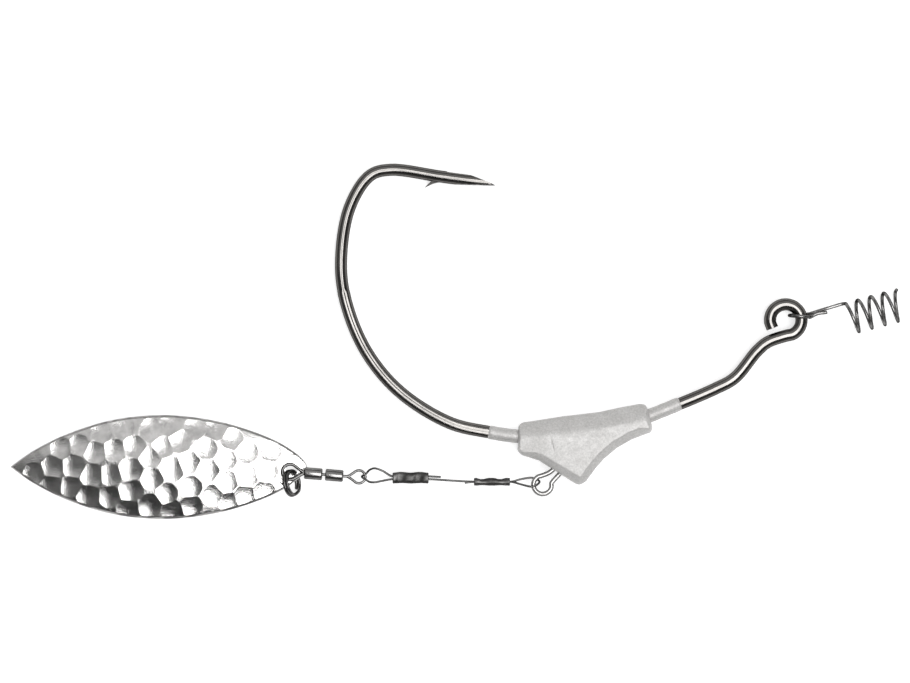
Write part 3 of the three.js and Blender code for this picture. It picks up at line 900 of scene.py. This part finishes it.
PIT_DEPTH = 0.26
HOLE_RING_RADIUS = 2.9
HOLE_RING_DEPTH = 0.045
BLADE_EDGE_ROUND = 0.42
BLADE_EDGE_DROP = 0.24
BLADE_EDGE_CURVE = 1.2
BLADE_BACK_MARKS = 0.35
BLADE_COLUMNS = 161
BLADE_STEP = 0.17
BLADE_CREASE = 50
DRILL_REACH = 6
PIT_RADIUS = 8.5
PITS = [
    (4.3, -1.3), (7.3, -3.4), (7.7, -0.1), (9.3, 3.5), (11.0, -3.5), (11.6, 0.1), (12.6, 4.0),
    (14.2, -5.2), (14.9, -1.5), (15.5, 2.8), (16.6, 6.3), (18.1, -5.4), (18.3, -1.4), (19.0, 3.1),
    (20.6, 7.3), (21.4, -7.7), (22.0, -4.3), (22.0, -0.4), (22.6, 3.7), (25.3, -7.0), (25.9, -2.1),
    (25.5, 1.8), (25.6, 6.8), (27.9, 3.7), (28.5, -4.7), (29.0, 7.6), (29.5, -8.1), (29.5, -0.3),
    (30.8, 4.7), (32.5, 0.8), (32.8, -3.5), (32.8, -7.0), (33.3, 7.0), (35.6, 3.3), (35.9, -0.6),
    (36.8, -5.1), (37.4, 7.0), (39.2, 1.4), (39.3, -2.7), (39.7, -6.3), (40.2, 5.1), (42.5, -5.2),
    (42.9, 2.7), (42.9, -1.7), (45.9, -4.5), (46.4, -0.8), (47.2, 2.8),
]


def blade_edge():
    """Half width at stations from the tip to the round end."""
    rear = [(0, 0), (4.3, 2.95), (10.8, 6.1), (19, 8.55)]
    front = [(28, BLADE_HALF_WIDTH), (37, 8.35), (45, 6), (50.6, 3.2)]
    half = [*rear, *front]
    mirrored = [(x, -y) for x, y in reversed(half)]
    control = np.array([*half, (BLADE_LENGTH, 0), *mirrored], float)
    padded = np.vstack([control[:1], control, control[-1:]])
    samples = []
    for p0, p1, p2, p3 in zip(padded, padded[1:], padded[2:], padded[3:]):
        m1, m2 = (p2 - p0) / 2, (p3 - p1) / 2
        t = np.linspace(0, 1, 60, endpoint=False)[:, None]
        square = -3 * p1 + 3 * p2 - 2 * m1 - m2
        cube = 2 * p1 - 2 * p2 + m1 + m2
        samples.append(p1 + m1 * t + square * t**2 + cube * t**3)
    dense = np.vstack(samples)
    half_count = 60 * len(half)
    edge = dense[:half_count + 1]
    edge = np.column_stack([edge, np.zeros(len(edge))])
    return even_steps(edge, BLADE_STEP)[:, :2]


def hammered(x, y):
    """How far the blows press the sheet in at each point: round pits meeting in sharp ridges."""
    around_hole = np.hypot(x - BLADE_HOLE[0], y - BLADE_HOLE[1])
    depth = -HOLE_RING_DEPTH * np.exp(-(((around_hole - HOLE_RING_RADIUS) / 0.16) ** 2))
    for cx, cy in PITS:
        pit = PIT_DEPTH * rng.uniform(0.88, 1.12)
        away = (x - cx) ** 2 + (y - cy) ** 2
        depth = np.minimum(depth, away / (2 * PIT_RADIUS) - pit)
    return depth


def dish(x, y):
    middle = BLADE_LENGTH / 2
    return -BLADE_LONG_SAG * ((x - middle) / middle) ** 2 - BLADE_CROSS_SAG * (y / BLADE_HALF_WIDTH) ** 2


def blade_place():
    lift = math.radians(BLADE_LIFT)
    x_axis = (math.cos(lift), 0, math.sin(lift))
    z_axis = (-math.sin(lift), 0, math.cos(lift))
    origin = np.array((*BLADE_TIP, BLADE_LONG_SAG + BLADE_THICKNESS / 2)) + SHIFT
    return place((x_axis, (0, 1, 0), z_axis), origin)


def blade(material):
    edge = blade_edge()
    across = np.sin(0.5 * np.pi * np.linspace(-1, 1, BLADE_COLUMNS))
    edge_x = np.maximum(edge[:, 0], 0)
    x = np.repeat(edge_x[:, None], len(across), axis=1)
    y = np.maximum(edge[:, 1], 0.02)[:, None] * across[None, :]
    rim = np.clip((np.maximum(edge[:, 1], 0.02)[:, None] - np.abs(y)) / BLADE_EDGE_ROUND, 0, 1)
    rounding = BLADE_EDGE_DROP * (1 - rim) ** BLADE_EDGE_CURVE
    marks = hammered(x, y)
    top = dish(x, y) + BLADE_THICKNESS / 2 + marks * np.clip(rim + 0.6, 0, 1) - rounding
    bottom = dish(x, y) - BLADE_THICKNESS / 2 + BLADE_BACK_MARKS * marks + 0.5 * rounding
    rows, columns = x.shape
    upper = np.column_stack([x.ravel(), y.ravel(), top.ravel()])
    lower = np.column_stack([x.ravel(), y.ravel(), bottom.ravel()])
    total = rows * columns
    faces = []
    for i in range(rows - 1):
        for k in range(columns - 1):
            a = i * columns + k
            b = a + columns
            faces.append((a, b, b + 1, a + 1))
            faces.append((total + a, total + a + 1, total + b + 1, total + b))
        for k in (0, columns - 1):
            a = i * columns + k
            b = a + columns
            faces.append((a, b, total + b, total + a) if k else (b, a, total + a, total + b))
    for i in (0, rows - 1):
        for k in range(columns - 1):
            a = i * columns + k
            face = (a, a + 1, total + a + 1, total + a)
            faces.append((a + 1, a, total + a, total + a + 1) if i else face)
    matrix = blade_place()
    piece = make("hammered_blade", [(np.vstack([upper, lower]), faces)], "blade", matrix, material,
                 ["blade"], BLADE_CREASE)
    points, sides = turned([(BLADE_HOLE_RADIUS, -DRILL_REACH), (BLADE_HOLE_RADIUS, DRILL_REACH)], 48)
    upright = points[:, (1, 2, 0)] + (*BLADE_HOLE, 0)
    boolean(piece, loose_object("drill", upright, sides, matrix), "DIFFERENCE")
    creased(piece, BLADE_CREASE)
    return piece


# Screw lock ----------------------------------------------------------------------------------


def screw_lock(material):
    cx, cy = LOCK_LOOP["centre"]
    height, radius = LOCK_LOOP["height"], LOCK_LOOP["radius"]
    tag = [(67.15, 5.15, height + 0.3), (65.4, 4.95, height + 0.32)]
    loop = []
    for angle in range(20, 341, 20):
        turn = math.radians(angle)
        rise = 0.3 * (angle - 180) / 160
        loop.append((cx + radius * math.cos(turn), cy + rise, height + radius * math.sin(turn)))
    shaft = [(65.4, 5.35, height - 0.32), (67.2, 5.9, height)]
    lean = math.radians(LOCK_COIL["angle"])
    along = np.array((math.cos(lean), math.sin(lean), 0))
    up = np.array((-math.sin(lean), math.cos(lean), 0))
    start = np.array(LOCK_COIL["start"])
    coil = []
    for step in range(LOCK_COIL["turns"] * 12 + 1):
        turn = step / 12
        angle = 2 * math.pi * turn
        circle = math.cos(angle) * up + math.sin(angle) * np.array((0, 0, 1))
        coil.append(tuple(start + LOCK_COIL["pitch"] * turn * along + LOCK_COIL["radius"] * circle))
    route = spline([*tag, *loop, *shaft, *coil], 0.14)

    def wire(station, length):
        return round_section(LOCK_WIRE * soft_end(station, length, LOCK_WIRE), 20)

    lock = skin(rings_along(route, wire))
    return make("lock_wire", [lock], "screw_lock", TABLE_PLACE, material, ["screw_lock"])


# Scene ---------------------------------------------------------------------------------------

camera()
studio()
floor()

black_nickel = metal("black_nickel", 0.115, 0.15, (0.12, 0.2), 1.0, edge=0.2, warm=0.04)
hammered_nickel = metal("hammered_nickel", 0.42, 0.62, (0.1, 0.19), 1.2, edge=0.5, bump=0.7, depth=0.00005)
swivel_wire = metal("swivel_wire", 0.09, 0.16, (0.12, 0.2), 1.6, edge=0.1)
swivel_steel = metal("swivel_barrel", 0.14, 0.23, (0.18, 0.26), 1.4, edge=0.1)
ring_steel = metal("ring_steel", 0.1, 0.18, (0.12, 0.22), 1.6, edge=0.1)
lock_steel = metal("lock_steel", 0.12, 0.26, (0.2, 0.32), 2.0, edge=0.1)
hanger_paint = metal("hanger_paint", 0.3, 0.4, (0.3, 0.42), 2.0, edge=0.2)
cable_steel = metal("leader_steel", 0.06, 0.15, (0.28, 0.42), 2.0, edge=0.1)
crimp_black = metal("crimp_black", 0.05, 0.13, (0.34, 0.52), 1.2, edge=0.15, bump=0.5)
paint = pearl_paint()

leader_matrix = leader_place()
hook(black_nickel)
shank_paint(paint)
keel_weight(paint)
weight_hanger(hanger_paint)
leader_cable(cable_steel, leader_matrix)
crimp_sleeve("front_crimp", "front_crimp_sleeve", (6.8, -25.3), True, crimp_black, leader_matrix)
crimp_sleeve("rear_crimp", "rear_crimp_sleeve", (-7.85, -24.6), False, crimp_black, leader_matrix)
swivel_eye("front_eye_wire", "swivel_front_eye", "front_eye", 1, FRONT_EYE, swivel_wire)
swivel_barrel("front_barrel_shell", "swivel_front_barrel", "front_barrel", 1, swivel_steel)
swivel_pin(swivel_wire)
swivel_barrel("rear_barrel_shell", "swivel_rear_barrel", "rear_barrel", -1, swivel_steel)
swivel_eye("rear_eye_wire", "swivel_rear_eye", "rear_eye", -1, REAR_EYE, swivel_wire)
split_ring(ring_steel)
blade(hammered_nickel)
screw_lock(lock_steel)
